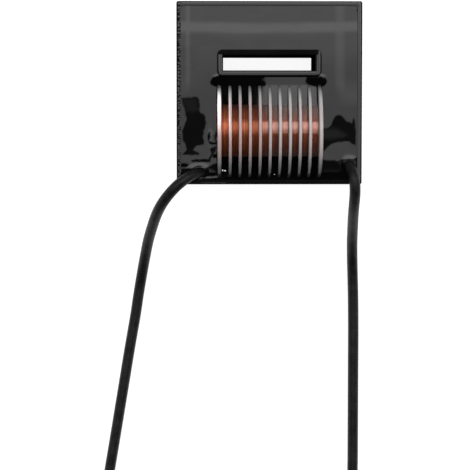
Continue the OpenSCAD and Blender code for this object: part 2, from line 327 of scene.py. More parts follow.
rays = node_in(sky, "ShaderNodeLightPath").outputs
upward = total(sky, product(sky, toward_z, FILL_Z), product(sky, toward_y, FILL_Y))
upward = math_node(sky, "POWER", greatest(sky, upward, 0.0), FILL_POWER)
fill = product(sky, rays["Is Diffuse Ray"], upward, FILL_LEVEL)
strength = node_in(sky, "ShaderNodeMix", data_type="FLOAT")
feed(sky, strength, {0: rays["Is Camera Ray"], 2: total(sky, studio_light, fill), 3: 1.0})
background = node_in(sky, "ShaderNodeBackground", {"Strength": strength.outputs[0]})
node_in(sky, "ShaderNodeOutputWorld", {0: background.outputs[0]})
print("world", len(sky.nodes), "nodes")

# %% [markdown]
# One real lamp adds the bright line down the edge of the first flange. It is a narrow spot, and
# squeezing it across makes its round pool of light a blade.

# %% Lamp: a narrow blade of light
BLADE_AIM = Vector((-13.5, -4.1, 26.0)) * MM
BLADE_LONG = Vector((0, -0.84, 0.54)).normalized()
BLADE_BACK = Vector((-0.55, 0.45, 0.70)).normalized()
BLADE_AWAY = 0.45
BLADE_SQUEEZE = 0.2
BLADE_WATTS, BLADE_DEGREES, BLADE_SOFT, BLADE_RADIUS = 32, 1.9, 0.7, 2 * MM

blade_data = bpy.data.lights.new("flange_blade", "SPOT")
blade_data.energy = BLADE_WATTS
blade_data.spot_size = math.radians(BLADE_DEGREES)
blade_data.spot_blend = BLADE_SOFT
blade_data.shadow_soft_size = BLADE_RADIUS
blade = placed("flange_blade", blade_data)
blade_turn = Matrix((BLADE_LONG.cross(BLADE_BACK), BLADE_LONG, BLADE_BACK)).transposed().to_4x4()
blade.matrix_world = (Matrix.Translation(BLADE_AIM + BLADE_BACK * BLADE_AWAY) @ blade_turn
                      @ Matrix.Diagonal((BLADE_SQUEEZE, 1, 1, 1)))
print("lamp", blade.name)

# %% [markdown]
# The floor is a pale sheet of paper. To the camera, and in reflections, it glows just enough to
# look white, and it still takes the object's shadow. Matt surfaces get only what paper reflects.

# %% Floor
FLOOR_HALF = 4.0
PAPER, SHOWN, GLOW = 0.8, 0.3, 0.9


def mesh_from(bm, name, finishes=(), sharp=None):
    """A smooth mesh from a bmesh, with its edges sharp past an angle in degrees."""
    mesh = bpy.data.meshes.new(name)
    for finish in finishes:
        mesh.materials.append(finish)
    bm.to_mesh(mesh)
    bm.free()
    mesh.shade_smooth()
    if sharp:
        mesh.set_sharp_from_angle(angle=math.radians(sharp))
    return mesh


floor_look = bpy.data.materials.new("pale_floor")
floor_look.use_nodes = True
tree = floor_look.node_tree
tree.nodes.clear()
paper = node_in(tree, "ShaderNodeBsdfDiffuse", {"Color": (PAPER, PAPER, PAPER, 1)})
shown = node_in(tree, "ShaderNodeBsdfDiffuse", {"Color": (SHOWN, SHOWN, SHOWN, 1)})
glow = node_in(tree, "ShaderNodeEmission", {"Strength": GLOW})
white = node_in(tree, "ShaderNodeAddShader", {0: shown.outputs[0], 1: glow.outputs[0]})
rays = node_in(tree, "ShaderNodeLightPath").outputs
seen = greatest(tree, rays["Is Camera Ray"], rays["Is Glossy Ray"], rays["Is Transmission Ray"])
choice = node_in(tree, "ShaderNodeMixShader", {0: seen, 1: paper.outputs[0], 2: white.outputs[0]})
node_in(tree, "ShaderNodeOutputMaterial", {0: choice.outputs[0]})

bm = bmesh.new()
bmesh.ops.create_grid(bm, x_segments=1, y_segments=1, size=FLOOR_HALF)
floor = placed("floor", mesh_from(bm, "floor", [floor_look]))
floor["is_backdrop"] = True
print("floor", 2 * FLOOR_HALF, "m wide")

# %% [markdown]
# Two effects turn up in several finishes: fine grain in the gloss and relief, and slow blotches
# in the colour. Each one is a shader node group, made once and placed in a material with its own
# values, so that one change to the group changes every finish.

# %% Shader groups
FLOAT, VECTOR, COLOR = "NodeSocketFloat", "NodeSocketVector", "NodeSocketColor"
PER_MM = 1000.0


def new_group(kind, name, inputs, outputs):
    """A node group with named sockets, and the sockets that carry what it is given."""
    group = bpy.data.node_groups.new(name, kind)
    for in_out, rows in (("INPUT", inputs), ("OUTPUT", outputs)):
        for label, socket_type, *value in rows:
            socket = group.interface.new_socket(name=label, in_out=in_out, socket_type=socket_type)
            if value:
                socket.default_value = value[0]
    return group, node_in(group, "NodeGroupInput").outputs


def noise_in(tree, place, per_mm, detail):
    """A Noise Texture with its scale in humps per millimetre; gives its value."""
    return node_in(tree, "ShaderNodeTexNoise", {"Vector": place, "Detail": detail,
                                                "Scale": product(tree, per_mm, PER_MM)}).outputs[0]


def mix_colors(tree, share, first, second, blend="MIX"):
    """Two colours, or sockets, mixed: a share of 1 gives the second."""
    first, second = [(*color, 1) if isinstance(color, tuple) else color
                     for color in (first, second)]
    return node_in(tree, "ShaderNodeMix", {0: share, 6: first, 7: second}, data_type="RGBA",
                   blend_type=blend).outputs[2]


grain_group, given = new_group(
    "ShaderNodeTree", "grain", [("Place", VECTOR), ("Grains per mm", FLOAT, 2.0),
                                ("Roughness", FLOAT, 0.5), ("Spread", FLOAT, 0.1)],
    [("Height", FLOAT), ("Roughness", FLOAT)])
speck = noise_in(grain_group, given["Place"], given["Grains per mm"], 3.0)
swing = product(grain_group, math_node(grain_group, "SUBTRACT", speck, 0.5), given["Spread"])
rough = math_node(grain_group, "ADD", swing, given["Roughness"], clamp=True)
node_in(grain_group, "NodeGroupOutput", {"Height": speck, "Roughness": rough})

blotch_group, given = new_group(
    "ShaderNodeTree", "blotches", [("Place", VECTOR), ("Blotches per mm", FLOAT, 0.2),
                                   ("Color A", COLOR), ("Color B", COLOR),
                                   ("Sharpness", FLOAT, 0.3)],
    [("Color", COLOR), ("Mask", FLOAT)])
cloud = noise_in(blotch_group, given["Place"], given["Blotches per mm"], 4.0)
spread = math_node(blotch_group, "SUBTRACT", 0.5, given["Sharpness"])
mask = ramp_up(blotch_group, cloud, math_node(blotch_group, "SUBTRACT", 0.5, spread),
               math_node(blotch_group, "ADD", 0.5, spread))
blend = mix_colors(blotch_group, mask, given["Color A"], given["Color B"])
node_in(blotch_group, "NodeGroupOutput", {"Color": blend, "Mask": mask})
print("groups", [group.name for group in (grain_group, blotch_group)])

# %% [markdown]
# Every finish starts the same way: a Principled shader whose gloss and relief carry grain and
# whose colour drifts between two close tones. One function makes that start, and these finishes
# need no more: white bobbin plastic, dull black ferrite, amber film in the core's gaps, solder,
# tinned strands, dark silicone on the leads, and the slot's walls, which are dead black.

# %% Finishes: a common start
WHITE = (1.0, 1.0, 1.0)


def grey(level):
    """A colour without a hue."""
    return (level, level, level)


def new_finish(name, color, roughness, metallic=0.0, ior=1.5, grains=4.0, spread=0.1, bump=0.1,
               depth=0.02, blotches=0.15, second=None, sharpness=0.2, squeeze=(1, 1, 1),
               shine=None):
    """A Principled finish with grain, blotches, and any other inputs given in shine."""
    finish = bpy.data.materials.new(name)
    finish.use_nodes = True
    tree = finish.node_tree
    coords = node_in(tree, "ShaderNodeTexCoord").outputs["Object"]
    place = node_in(tree, "ShaderNodeMapping", {0: coords, "Scale": squeeze}).outputs[0]
    grain = node_in(tree, "ShaderNodeGroup", node_tree=grain_group)
    feed(tree, grain, {"Place": place, "Grains per mm": grains, "Roughness": roughness,
                       "Spread": spread})
    cloud = node_in(tree, "ShaderNodeGroup", node_tree=blotch_group)
    feed(tree, cloud, {"Place": place, "Blotches per mm": blotches, "Sharpness": sharpness,
                       "Color A": (*color, 1), "Color B": (*(second or color), 1)})
    relief = node_in(tree, "ShaderNodeBump", {"Strength": bump, "Distance": depth * MM,
                                              "Height": grain.outputs["Height"]})
    feed(tree, tree.nodes["Principled BSDF"],
         {"IOR": ior, "Metallic": metallic, "Base Color": cloud.outputs["Color"],
          "Roughness": grain.outputs["Roughness"], "Normal": relief.outputs[0], **(shine or {})})
    return finish


def opened(finish):
    """A finish's tree, its shader, and the place on the object in x, y and z."""
    tree = finish.node_tree
    coords = node_in(tree, "ShaderNodeTexCoord").outputs["Object"]
    where = node_in(tree, "ShaderNodeSeparateXYZ", {0: coords}).outputs
    return tree, tree.nodes["Principled BSDF"], where


def tint(tree, shader, *others):
    """Multiplies a finish's colour by each of the others."""
    color = shader.inputs["Base Color"].links[0].from_socket
    for other in others:
        color = mix_colors(tree, 1.0, color, other, "MULTIPLY")
    feed(tree, shader, {"Base Color": color})


def dress(piece, finish):
    """Gives a piece this finish and no other."""
    piece.data.materials.clear()
    piece.data.materials.append(finish)


# %% Finishes: plain ones
bobbin_finish = new_finish("bobbin_plastic", (0.56, 0.56, 0.555), 0.34, grains=5.0, spread=0.15,
                           second=(0.50, 0.50, 0.505))
ferrite_finish = new_finish("ferrite", (0.03, 0.03, 0.032), 0.5, grains=6.0)
film_finish = new_finish("spacer_film", (0.55, 0.42, 0.16), 0.3)
solder_finish = new_finish("solder", (0.78, 0.78, 0.79), 0.2, metallic=1.0, grains=3.0, bump=0.3)
strand_finish = new_finish("tinned_strands", (0.7, 0.7, 0.68), 0.3, metallic=1.0, grains=5.0)
lead_finish = new_finish("lead_insulation", grey(0.004), 0.45, ior=1.34, grains=1.6, spread=0.3,
                         bump=0.5, depth=0.05, blotches=0.5, second=grey(0.012), sharpness=0.3)
slot_finish = new_finish("slot_walls", grey(0.003), 0.9, grains=2.2, bump=0.4, second=grey(0.005),
                         shine={"Specular IOR Level": 0.0})
print("plain finishes", [finish.name for finish in (
    bobbin_finish, ferrite_finish, film_finish, solder_finish, strand_finish, lead_finish,
    slot_finish)])

# %% [markdown]
# The resin is a black body under a clear gloss. It set unevenly, so a value carried by its mesh,
# called gloss, says how much of the shine each place has kept.

# %% Finish: resin
resin_finish = new_finish("potting_resin", grey(0.0015), 0.5, grains=0.8, bump=0.05, depth=0.01,
                          second=grey(0.003), shine={"Specular IOR Level": 0.0, "Coat IOR": 1.55,
                                                     "Coat Roughness": 0.03})
tree = resin_finish.node_tree
gloss = node_in(tree, "ShaderNodeAttribute", attribute_name="gloss").outputs["Fac"]
feed(tree, tree.nodes["Principled BSDF"], {"Coat Weight": gloss})
print("resin finish", len(tree.nodes), "nodes")

# %% [markdown]
# The bobbin's plastic lets some light through, and here that light is painted into its colour:
# the flanges carry a painted copper glow high up, more on the left where the wire is bare. Lower
# down their colour is painted darker as shade, and that shade climbs a little towards the near side.

# %% Finish: bobbin
COPPER_GLOW_RIGHT, COPPER_GLOW_LEFT = (0.98, 0.86, 0.85), (0.96, 0.70, 0.69)
LOW_SHADE_TONE = 0.08
LOW_SHADE_LEAN = 0.16

tree, shader, where = opened(bobbin_finish)
# painted light: the flanges are tinted copper high up, as light from the copper between them
painted_copper_glow = mix_colors(tree, ramp_up(tree, where[0], 2 * MM, -4 * MM), COPPER_GLOW_RIGHT, COPPER_GLOW_LEFT)
glow = mix_colors(tree, ramp_up(tree, where[2], 23 * MM, 27 * MM), WHITE, painted_copper_glow)
# painted shade: the flanges are darker lower down, and the shade reaches higher towards the near
# side
leaning = total(tree, where[2], product(tree, where[1], LOW_SHADE_LEAN))
painted_low_shade = mix_colors(tree, ramp_up(tree, leaning, 18.3 * MM, 26.3 * MM), grey(LOW_SHADE_TONE), WHITE)
tint(tree, shader, glow, painted_low_shade)
print("bobbin finish", len(tree.nodes), "nodes")

# %% [markdown]
# The tray is matt moulded plastic. Where resin has run over its rim and over the slot's lip it
# carries a glossy film. The film is a coat on faces that look up. It is torn into blotches along
# the left rim, missing along the near rim, but for one short line, and on the far side of the
# lip, and it stops short of the outer edge and of the slot, which show as fine black lines. The
# moulded side walls have a half gloss of their own.

# %% Finish: tray
WALL_GLOSS = 0.6


def area_mask(tree, where, x_range, y_range, soft_x, soft_y):
    """1 inside a rectangle seen from above, in millimetres, with soft sides."""
    across = window_mask(tree, where[0], *(x * MM for x in (*x_range, soft_x)))
    return product(tree, window_mask(tree, where[1], *(y * MM for y in (*y_range, soft_y))), across)


tray_finish = new_finish("tray_plastic", grey(0.0015), 0.55, ior=1.45, grains=2.2, spread=0.3,
                         bump=0.6, depth=0.04, second=grey(0.003),
                         shine={"Specular IOR Level": 0.06, "Coat IOR": 1.55,
                                "Coat Roughness": 0.04})
tree, shader, where = opened(tray_finish)
coords = node_in(tree, "ShaderNodeTexCoord").outputs
facing_up = node_in(tree, "ShaderNodeSeparateXYZ", {0: coords["Normal"]}).outputs[2]
near_line = area_mask(tree, where, (-18.4, -11.6), (-24.5, -24.1), 0.6, 0.12)
off_near_rim = greatest(tree, near_line, ramp_up(tree, where[1], -23.5 * MM, -23.0 * MM))
far_lip = area_mask(tree, where, (-14.2, 13.3), (10.3, 12.0), 0.4, 0.1)
slot_edge = area_mask(tree, where, (-12.75, 12.75), (5.75, 10.45), 0.06, 0.06)
off_outer_edge = area_mask(tree, where, (-24.75, 24.72), (-26, 24.32), 0.08, 0.08)
edges = math_node(tree, "SUBTRACT", off_outer_edge, greatest(tree, far_lip, slot_edge), clamp=True)
ticks = node_in(tree, "ShaderNodeMapping", {0: coords["Object"], "Scale": (0.7, 1.6, 1)})
torn = node_in(tree, "ShaderNodeGroup", node_tree=blotch_group)
feed(tree, torn, {"Place": ticks.outputs[0], "Blotches per mm": 1.3, "Sharpness": 0.45})
off_left_rim = ramp_up(tree, where[0], -24.2 * MM, -23.4 * MM)
whole = greatest(tree, torn.outputs["Mask"], off_left_rim)
film = product(tree, ramp_up(tree, facing_up, 0.6, 0.95), off_near_rim, product(tree, edges, whole))
flat = ramp_up(tree, math_node(tree, "ABSOLUTE", facing_up), 0.1, 0.3)
walls = product(tree, math_node(tree, "SUBTRACT", 1.0, flat), WALL_GLOSS)
feed(tree, shader, {"Coat Weight": greatest(tree, film, walls)})
print("tray finish", len(tree.nodes), "nodes")

# %% [markdown]
# Enamelled copper wire is copper under a thin tinted enamel, and varnish has soaked into the
# sections on the right. Like the flanges, the turns are painted darker lower down, near the resin,
# as shade. Each turn's colour is painted a little lighter or darker at random, as though it takes
# the light differently, and darker towards the flanges as painted shade; a value that every turn
# carries holds both. A fine streak runs along the wire.

# %% Finish: copper wire
COAT_BARE, COAT_SOAKED = 0.05, 0.95
# the darkest turn's colour: random tone, and painted shade next to the flanges
DARK_TONE_AND_EDGE_SHADE = (0.60, 0.46, 0.42)

copper_finish = new_finish("enamelled_copper", (0.63, 0.19, 0.072), 0.30, metallic=0.68,
                           grains=2.5, spread=0.2, bump=0.15, depth=0.01,
                           second=(0.56, 0.12, 0.036), squeeze=(1, 0.08, 0.08),
                           shine={"Coat Roughness": 0.06, "Coat IOR": 2.0})
tree, shader, where = opened(copper_finish)
soaked = ramp_up(tree, where[0], -4.5 * MM, 0.5 * MM)
# each turn's value: a random tone, with painted shade towards the flanges
tone = node_in(tree, "ShaderNodeAttribute", attribute_name="turn_tone_and_edge_shade").outputs["Fac"]
# painted shade: the turns are darker lower down, near the resin
painted_low_shade = ramp_up(tree, where[2], 20.9 * MM, 25.2 * MM)
tint(tree, shader, mix_colors(tree, tone, DARK_TONE_AND_EDGE_SHADE, WHITE), painted_low_shade)
coat = total(tree, product(tree, soaked, COAT_SOAKED), COAT_BARE)
feed(tree, shader, {"Coat Weight": coat})
print("copper finish", len(tree.nodes), "nodes")

# %% [markdown]
# The solids that keep their own shape only need a finish. A word in a solid's name says what it
# is made of, so a short list of words dresses them all, and the leads take theirs here too.

# %% Finishes: on the solids and the leads
FINISH_OF = {"winding": copper_finish, "wire": copper_finish, "core": ferrite_finish,
             "spacer": film_finish, "solder": solder_finish, "tip": strand_finish}
dressed = 0
for name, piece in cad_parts.items():
    for word, finish in FINISH_OF.items():
        if word in name:
            dress(piece, finish)
            dressed += 1
for lead in leads.values():
    dress(lead, lead_finish)
print("solids dressed", dressed)

# %% [markdown]
# The bobbin's flanges and the turns of wire between them are the same thing twice over: a ring
# round one axis, repeated along it. One ring is turned from its outline as a small mesh, and one
# Geometry Nodes tree sets out the copies in groups, with a small fixed scatter in their size.

# %% Rings: one ring from its outline
AXIS_Y, AXIS_Z = -10.2, 14.6


def ring_mesh(name, outline, steps):
    """A closed ring round the bobbin's axis, from (along, radius) points in millimetres."""
    bm = bmesh.new()
    rings = []
    for k in range(steps):
        angle = 2 * math.pi * k / steps
        rings.append([bm.verts.new((a * MM, r * MM * math.cos(angle), r * MM * math.sin(angle)))
                      for a, r in outline])
    count = len(outline)
    for k in range(steps):
        one, two = rings[k], rings[(k + 1) % steps]
        for i in range(count):
            j = (i + 1) % count
            bm.faces.new([one[i], two[i], two[j], one[j]])
    bmesh.ops.recalc_face_normals(bm, faces=bm.faces)
    return mesh_from(bm, name)


def ridge_outline(width, top, ridge, deep, steps=8):
    """A turn's cross section: a low round ridge over a square foot."""
    outline = [(-width / 2, top - deep)]
    for k in range(steps + 1):
        across = 2 * k / steps - 1
        outline.append((across * width / 2, top - ridge * abs(across) ** 5))
    return outline + [(width / 2, top - deep)]


# %% Rings: the tree that sets out the copies
GEOMETRY, INT, MATERIAL = "NodeSocketGeometry", "NodeSocketInt", "NodeSocketMaterial"


def end_tree(group, copies, finish):
    """The end of a geometry tree: real faces in their finish."""
    real = node_in(group, "GeometryNodeRealizeInstances", {0: copies}).outputs[0]
    finished = node_in(group, "GeometryNodeSetMaterial", {"Geometry": real, "Material": finish})
    node_in(group, "NodeGroupOutput", {0: finished.outputs[0]})
    print(group.name, len(group.nodes), "nodes")


copies, given = new_group(
    "GeometryNodeTree", "copies_along_axis",
    [("Geometry", GEOMETRY), ("Groups", INT, 1), ("Per group", INT, 1), ("Group pitch", FLOAT, 0.0),
     ("Pitch", FLOAT, 0.0), ("First", FLOAT, 0.0), ("Axis Y", FLOAT, 0.0), ("Axis Z", FLOAT, 0.0),
     ("Size scatter", FLOAT, 0.0), ("Edge shade", FLOAT, 0.0), ("Seed", INT, SEED),
     ("Finish", MATERIAL)],
    [("Geometry", GEOMETRY)])
per_group = given["Per group"]
number = node_in(copies, "GeometryNodeInputIndex").outputs[0]
group_number = math_node(copies, "FLOOR", math_node(copies, "DIVIDE", number, per_group))
in_group = math_node(copies, "MODULO", number, per_group)
along = total(copies, product(copies, group_number, given["Group pitch"]),
              product(copies, in_group, given["Pitch"]), given["First"])
place = node_in(copies, "ShaderNodeCombineXYZ", {0: along, 1: given["Axis Y"], 2: given["Axis Z"]})
points = node_in(copies, "GeometryNodePoints", {"Position": place.outputs[0]})
feed(copies, points, {"Count": product(copies, given["Groups"], per_group)})
least = math_node(copies, "SUBTRACT", 1.0, given["Size scatter"])
scatter = node_in(copies, "FunctionNodeRandomValue", {2: least, 3: 1.0, "Seed": given["Seed"]},
                  data_type="FLOAT").outputs[1]
size = node_in(copies, "ShaderNodeCombineXYZ", {0: 1.0, 1: scatter, 2: scatter})
rings = node_in(copies, "GeometryNodeInstanceOnPoints",
                {"Points": points.outputs[0], "Instance": given["Geometry"],
                 "Scale": size.outputs[0]})

# Each copy carries a random tone, painted darker as shade towards both ends of its group
tone = node_in(copies, "FunctionNodeRandomValue", {"Seed": total(copies, given["Seed"], 1)},
               data_type="FLOAT").outputs[1]
middle = product(copies, math_node(copies, "SUBTRACT", per_group, 1), 0.5)
off_middle = math_node(copies, "DIVIDE", math_node(copies, "SUBTRACT", in_group, middle),
                       greatest(copies, middle, 0.5))
edge_shade = product(copies, off_middle, off_middle, given["Edge shade"])
shaded = product(copies, tone, math_node(copies, "SUBTRACT", 1.0, edge_shade))
toned = node_in(copies, "GeometryNodeStoreNamedAttribute", data_type="FLOAT", domain="INSTANCE")
feed(copies, toned, {"Geometry": rings.outputs[0], "Name": "turn_tone_and_edge_shade", "Value": shaded})
end_tree(copies, toned.outputs[0], given["Finish"])


# %% Rings: from a tree to a plain mesh
def grow(name, base, group, values):
    """Runs a geometry tree on a base mesh and keeps its result as a plain mesh."""
    maker = placed(name + "_maker", base)
    modifier = maker.modifiers.new("grow", "NODES")
    modifier.node_group = group
    for item in group.interface.items_tree:
        if item.in_out == "INPUT" and item.name in values:
            modifier[item.identifier] = values[item.name]
    bpy.context.view_layer.update()
    evaluated = maker.evaluated_get(bpy.context.evaluated_depsgraph_get())
    mesh = bpy.data.meshes.new_from_object(evaluated)
    mesh.name = name
    bpy.data.objects.remove(maker)
    piece = placed(name, mesh)
    print(name, len(mesh.polygons), "faces")
    return piece


def join_meshes(piece, others):
    """Adds other pieces' faces to a piece, and removes those pieces."""
    bm = bmesh.new()
    bm.from_mesh(piece.data)
    for other in others:
        bm.from_mesh(other.data)
    bm.to_mesh(piece.data)
    bm.free()
    for other in others:
        bpy.data.objects.remove(other)


# %% [markdown]
# The bobbin is a moulded tube with eleven flanges. Its two end flanges are thicker, and every
# flange ends in a rounded edge that catches the light as a thin line. The tube hardly shows, but
# it closes the foot of each section.

# %% Bobbin: flanges and barrel
SECTIONS = 10
SECTION_PITCH, SECTION_W, FIRST_SECTION = 2.66, 1.86, -12.9
FLANGE_R, WINDING_R, BARREL_R, BORE_R = 13.1, 10.0, 6.5, 5.65
FOOT_R = BARREL_R - 0.2      # a flange's foot, sunk into the tube
INNER_T, END_T = 0.8, 1.2
BOBBIN_HALF = 14.1
BARREL_HALF = BOBBIN_HALF - 0.1
FLANGE_STEPS, BARREL_STEPS, TURN_STEPS, UNDER_STEPS = 160, 64, 128, 96
AXIS = {"Axis Y": AXIS_Y * MM, "Axis Z": AXIS_Z * MM}


def flange_outline(thickness, thin, rounding, steps=5):
    """A flange's cross section: it tapers from the windings to a rounded edge."""
    half = thin / 2
    outline = [(-thickness / 2, FOOT_R), (-thickness / 2, WINDING_R)]
    for side in (-1, 1):
        for k in range(steps + 1):
            angle = math.pi / 2 * (k if side < 0 else steps - k) / steps
            outline.append((side * (half - rounding + rounding * math.cos(angle)),
                            FLANGE_R - rounding + rounding * math.sin(angle)))
    return outline + [(thickness / 2, WINDING_R), (thickness / 2, FOOT_R)]


inner_flange = ring_mesh("inner_flange", flange_outline(INNER_T, 0.80, 0.24), FLANGE_STEPS)
end_flange = ring_mesh("end_flange", flange_outline(END_T, 1.02, 0.34), FLANGE_STEPS)
barrel_ring = ring_mesh("barrel_ring", [(-BARREL_HALF, BORE_R), (-BARREL_HALF, BARREL_R),
                                        (BARREL_HALF, BARREL_R), (BARREL_HALF, BORE_R)],
                        BARREL_STEPS)
bobbin = grow("sectioned_bobbin", inner_flange, copies,
              {"Groups": SECTIONS - 1, "Group pitch": SECTION_PITCH * MM,
               "First": (FIRST_SECTION + SECTION_W + INNER_T / 2) * MM, **AXIS})
ends = grow("end_flanges", end_flange, copies,
            {"Groups": 2, "Group pitch": (2 * BOBBIN_HALF - END_T) * MM,
             "First": (END_T / 2 - BOBBIN_HALF) * MM, **AXIS})
barrel = grow("barrel", barrel_ring, copies, {"Groups": 1, **AXIS})
join_meshes(bobbin, [ends, barrel])
dress(bobbin, bobbin_finish)
bobbin.data.set_sharp_from_angle(angle=math.radians(50))
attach(bobbin, "root")
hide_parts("bobbin")

# %% [markdown]
# Each section holds many layers of fine wire, and only the outer one shows. So its turns are
# made one by one, and a plain ring stands for the layers under them. The turns next to a flange
# get less light, so their tone is painted darker, as shade, towards both ends of the section.

# %% Windings: the outer layer's turns and the wire under them
TURNS = 6
TURN_PITCH = SECTION_W / TURNS
RIDGE, TURN_DEEP = 0.018, 0.3
UNDER_R = WINDING_R - TURN_DEEP
turn_ring = ring_mesh("turn", ridge_outline(TURN_PITCH, WINDING_R, RIDGE, TURN_DEEP), TURN_STEPS)
turns = grow("wound_turns", turn_ring, copies,
             {"Groups": SECTIONS, "Per group": TURNS, "Group pitch": SECTION_PITCH * MM,
              "Pitch": TURN_PITCH * MM, "First": (FIRST_SECTION + TURN_PITCH / 2) * MM,
              "Size scatter": 0.003, "Edge shade": 0.8, "Finish": copper_finish, **AXIS})
under_ring = ring_mesh("under_layer", [(0, BARREL_R), (0, UNDER_R), (SECTION_W, UNDER_R),
                                       (SECTION_W, BARREL_R)], UNDER_STEPS)
under = grow("under_layers", under_ring, copies,
             {"Groups": SECTIONS, "Group pitch": SECTION_PITCH * MM,
              "First": FIRST_SECTION * MM, "Finish": copper_finish, **AXIS})
join_meshes(turns, [under])
dress(turns, copper_finish)
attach(turns, "root")
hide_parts(*["winding_%02d" % (i + 1) for i in range(SECTIONS)])

# %% [markdown]
# The tray is one moulded shell: up its outer walls, over the rim, down inside, across its floor,
# up the sleeve, over the lip and down through the slot. Every one of those lines is a rounded
# rectangle with as many points as the next, so the shell is lofted from one loop to the next,
# and small steps at the rim and the lip give the moulding its soft edges.

# %% Tray: loops
RIM_Z, LIP_Z = case_high.z / MM - 0.2, case_high.z / MM
TRAY_W, TRAY_D = 50.0, 49.2
TRAY_WALL, TRAY_FLOOR = 1.2, 1.4
SLEEVE_Y = 8.1

# Each outline has a width, a depth, a corner's radius and the place of its middle
OUTSIDE = (TRAY_W, TRAY_D, 0.5, 0)
CAVITY = (TRAY_W - 2 * TRAY_WALL, TRAY_D - 2 * TRAY_WALL, 0.8, 0)
SLEEVE = (28.2, 7.1, 1.5, SLEEVE_Y)
SLOT = (24.9, 4.1, 0.1, SLEEVE_Y)
RIM_OUT, RIM_IN, LIP_OUT, LIP_IN = 0.15, 0.03, 0.2, 0.18      # how round each edge is
LEAST_CORNER = 0.05


def loop_points(width, depth, corner, middle_y, z, steps=8):
    """Points of a rounded rectangle at one height, in metres."""
    points = []
    for quarter in range(4):
        sx = (1, -1, -1, 1)[quarter]
        sy = (1, 1, -1, -1)[quarter]
        for k in range(steps + 1):
            angle = math.pi / 2 * (quarter + k / steps)
            points.append(((sx * (width / 2 - corner) + corner * math.cos(angle)) * MM,
                           (middle_y + sy * (depth / 2 - corner) + corner * math.sin(angle)) * MM,
                           z * MM))
    return points


def edge_loops(width, depth, corner, middle_y, z, rounding, outward, rising, steps=4):
    """Loops round an edge: outward is 1 on an outer edge, -1 on an inner one."""
    loops = []
    for k in range(steps + 1):
        angle = math.pi / 2 * (k if rising else steps - k) / steps
        inset = outward * rounding * (1 - math.cos(angle))
        drop = rounding * (1 - math.sin(angle))
        loops.append(loop_points(width - 2 * inset, depth - 2 * inset,
                                 max(corner - inset, LEAST_CORNER), middle_y, z - drop))
    return loops


loops = [loop_points(*OUTSIDE, 0)]
loops += edge_loops(*OUTSIDE, RIM_Z, RIM_OUT, 1, True)
loops += edge_loops(*CAVITY, RIM_Z, RIM_IN, -1, False)
loops.append(loop_points(*CAVITY, TRAY_FLOOR))
loops.append(loop_points(*SLEEVE, TRAY_FLOOR))
loops += edge_loops(*SLEEVE, LIP_Z, LIP_OUT, 1, True)
loops += edge_loops(*SLOT, LIP_Z, LIP_IN, -1, False)
loops.append(loop_points(*SLOT, 0))
print("tray loops", len(loops), "of", len(loops[0]), "points")

# %% Tray: shell
bm = bmesh.new()
rows = [[bm.verts.new(point) for point in loop] for loop in loops]
for one, two in zip(rows, rows[1:] + rows[:1]):
    for k in range(len(one)):
        n = (k + 1) % len(one)
        face = bm.faces.new([one[k], one[n], two[n], two[k]])
        # the walls of the slot take the second finish
        face.material_index = 1 if one is rows[-2] else 0
bmesh.ops.recalc_face_normals(bm, faces=bm.faces)
tray = placed("potting_tray", mesh_from(bm, "potting_tray", (tray_finish, slot_finish), sharp=40))
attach(tray, "root")
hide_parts("case")
print("tray", len(tray.data.polygons), "faces")

# %% [markdown]
# The resin is poured in liquid and sets where it stands: it draws up round the leads and the
# bobbin, and steps down in shallow bands towards the walls. A flat face would show none of that,
# so its top is a fine grid whose heights are worked out point by point, closed below by walls and
# a floor.

# %% Resin: where its grid lines are
RESIN_TOP = 18.6
GRID_STEP = 0.28
WALL_X, WALL_Y = 23.8, 23.4
SINK = 0.35      # how far its edge is sunk into the tray's walls
HOLE_HALF = (13.2, 2.85)


def grid_lines(*stops):
    """Evenly spaced values that include each stop."""
    lines = []
    for low, high in zip(stops, stops[1:]):
        count = max(1, round((high - low) / GRID_STEP))
        lines += [low + (high - low) * k / count for k in range(count)]
    return lines + [stops[-1]]


xs = grid_lines(-WALL_X - SINK, -HOLE_HALF[0], HOLE_HALF[0], WALL_X + SINK)
ys = grid_lines(-WALL_Y - SINK, SLEEVE_Y - HOLE_HALF[1], SLEEVE_Y + HOLE_HALF[1], WALL_Y + SINK)
print("resin grid", len(xs), "by", len(ys))


# %% Resin: small tools for its heights
FAR_OFF = 99.0
SEED_X, SEED_Y = 17.3, 9.1


def smooth(value, low, high):
    """0 to 1 between low and high, with soft ends."""
    t = np.clip((value - low) / (high - low), 0, 1)
    return t * t * (3 - 2 * t)


def rise_past(distance, slope, soft):
    """0 before an edge, then a steady rise past it."""
    return slope * soft * np.logaddexp(0, distance / soft)


def wobble(x, y, scale, seed, stretch=1.0):
    """Smooth noise from -1 to 1, one hump in about scale millimetres; a seed moves it away."""
    out = np.empty_like(x)
    for index in np.ndindex(x.shape):
        at = Vector((x[index] / scale / stretch + seed * SEED_X, y[index] / scale - seed * SEED_Y,
                     seed))
        out[index] = noise.noise(at)
    return out


def dome(x, y, at, radii, height):
    """A round hump, or a dimple when height is negative."""
    reach = ((x - at[0]) / radii[0]) ** 2 + ((y - at[1]) / radii[1]) ** 2
    return height * np.exp(-reach)


def step_in(inset, middle, half, height):
    """A soft step down, this far in from a wall."""
    return -height * (1 - smooth(inset, middle - half, middle + half))


def inside_mask(x, y, outline, soft):
    """1 inside a closed smooth outline and 0 outside it, with a soft edge."""
    corners = [Vector((a, b, 0)) for a, b in outline + outline[:1]]
    line = [(point.x, point.y) for point in smooth_line(corners, 4)]
    away = np.full_like(x, FAR_OFF)
    inside = np.zeros(x.shape, dtype=bool)
    for (ax, ay), (bx, by) in zip(line, line[1:]):
        ex, ey = bx - ax, by - ay
        size = ex * ex + ey * ey
        if size == 0:
            continue
        t = np.clip(((x - ax) * ex + (y - ay) * ey) / size, 0, 1)
        away = np.minimum(away, np.hypot(x - ax - t * ex, y - ay - t * ey))
        if ay != by:
            inside ^= ((ay > y) != (by > y)) & (x < ex * (y - ay) / ey + ax)
    return 1 - smooth(np.where(inside, -away, away), -soft, soft)


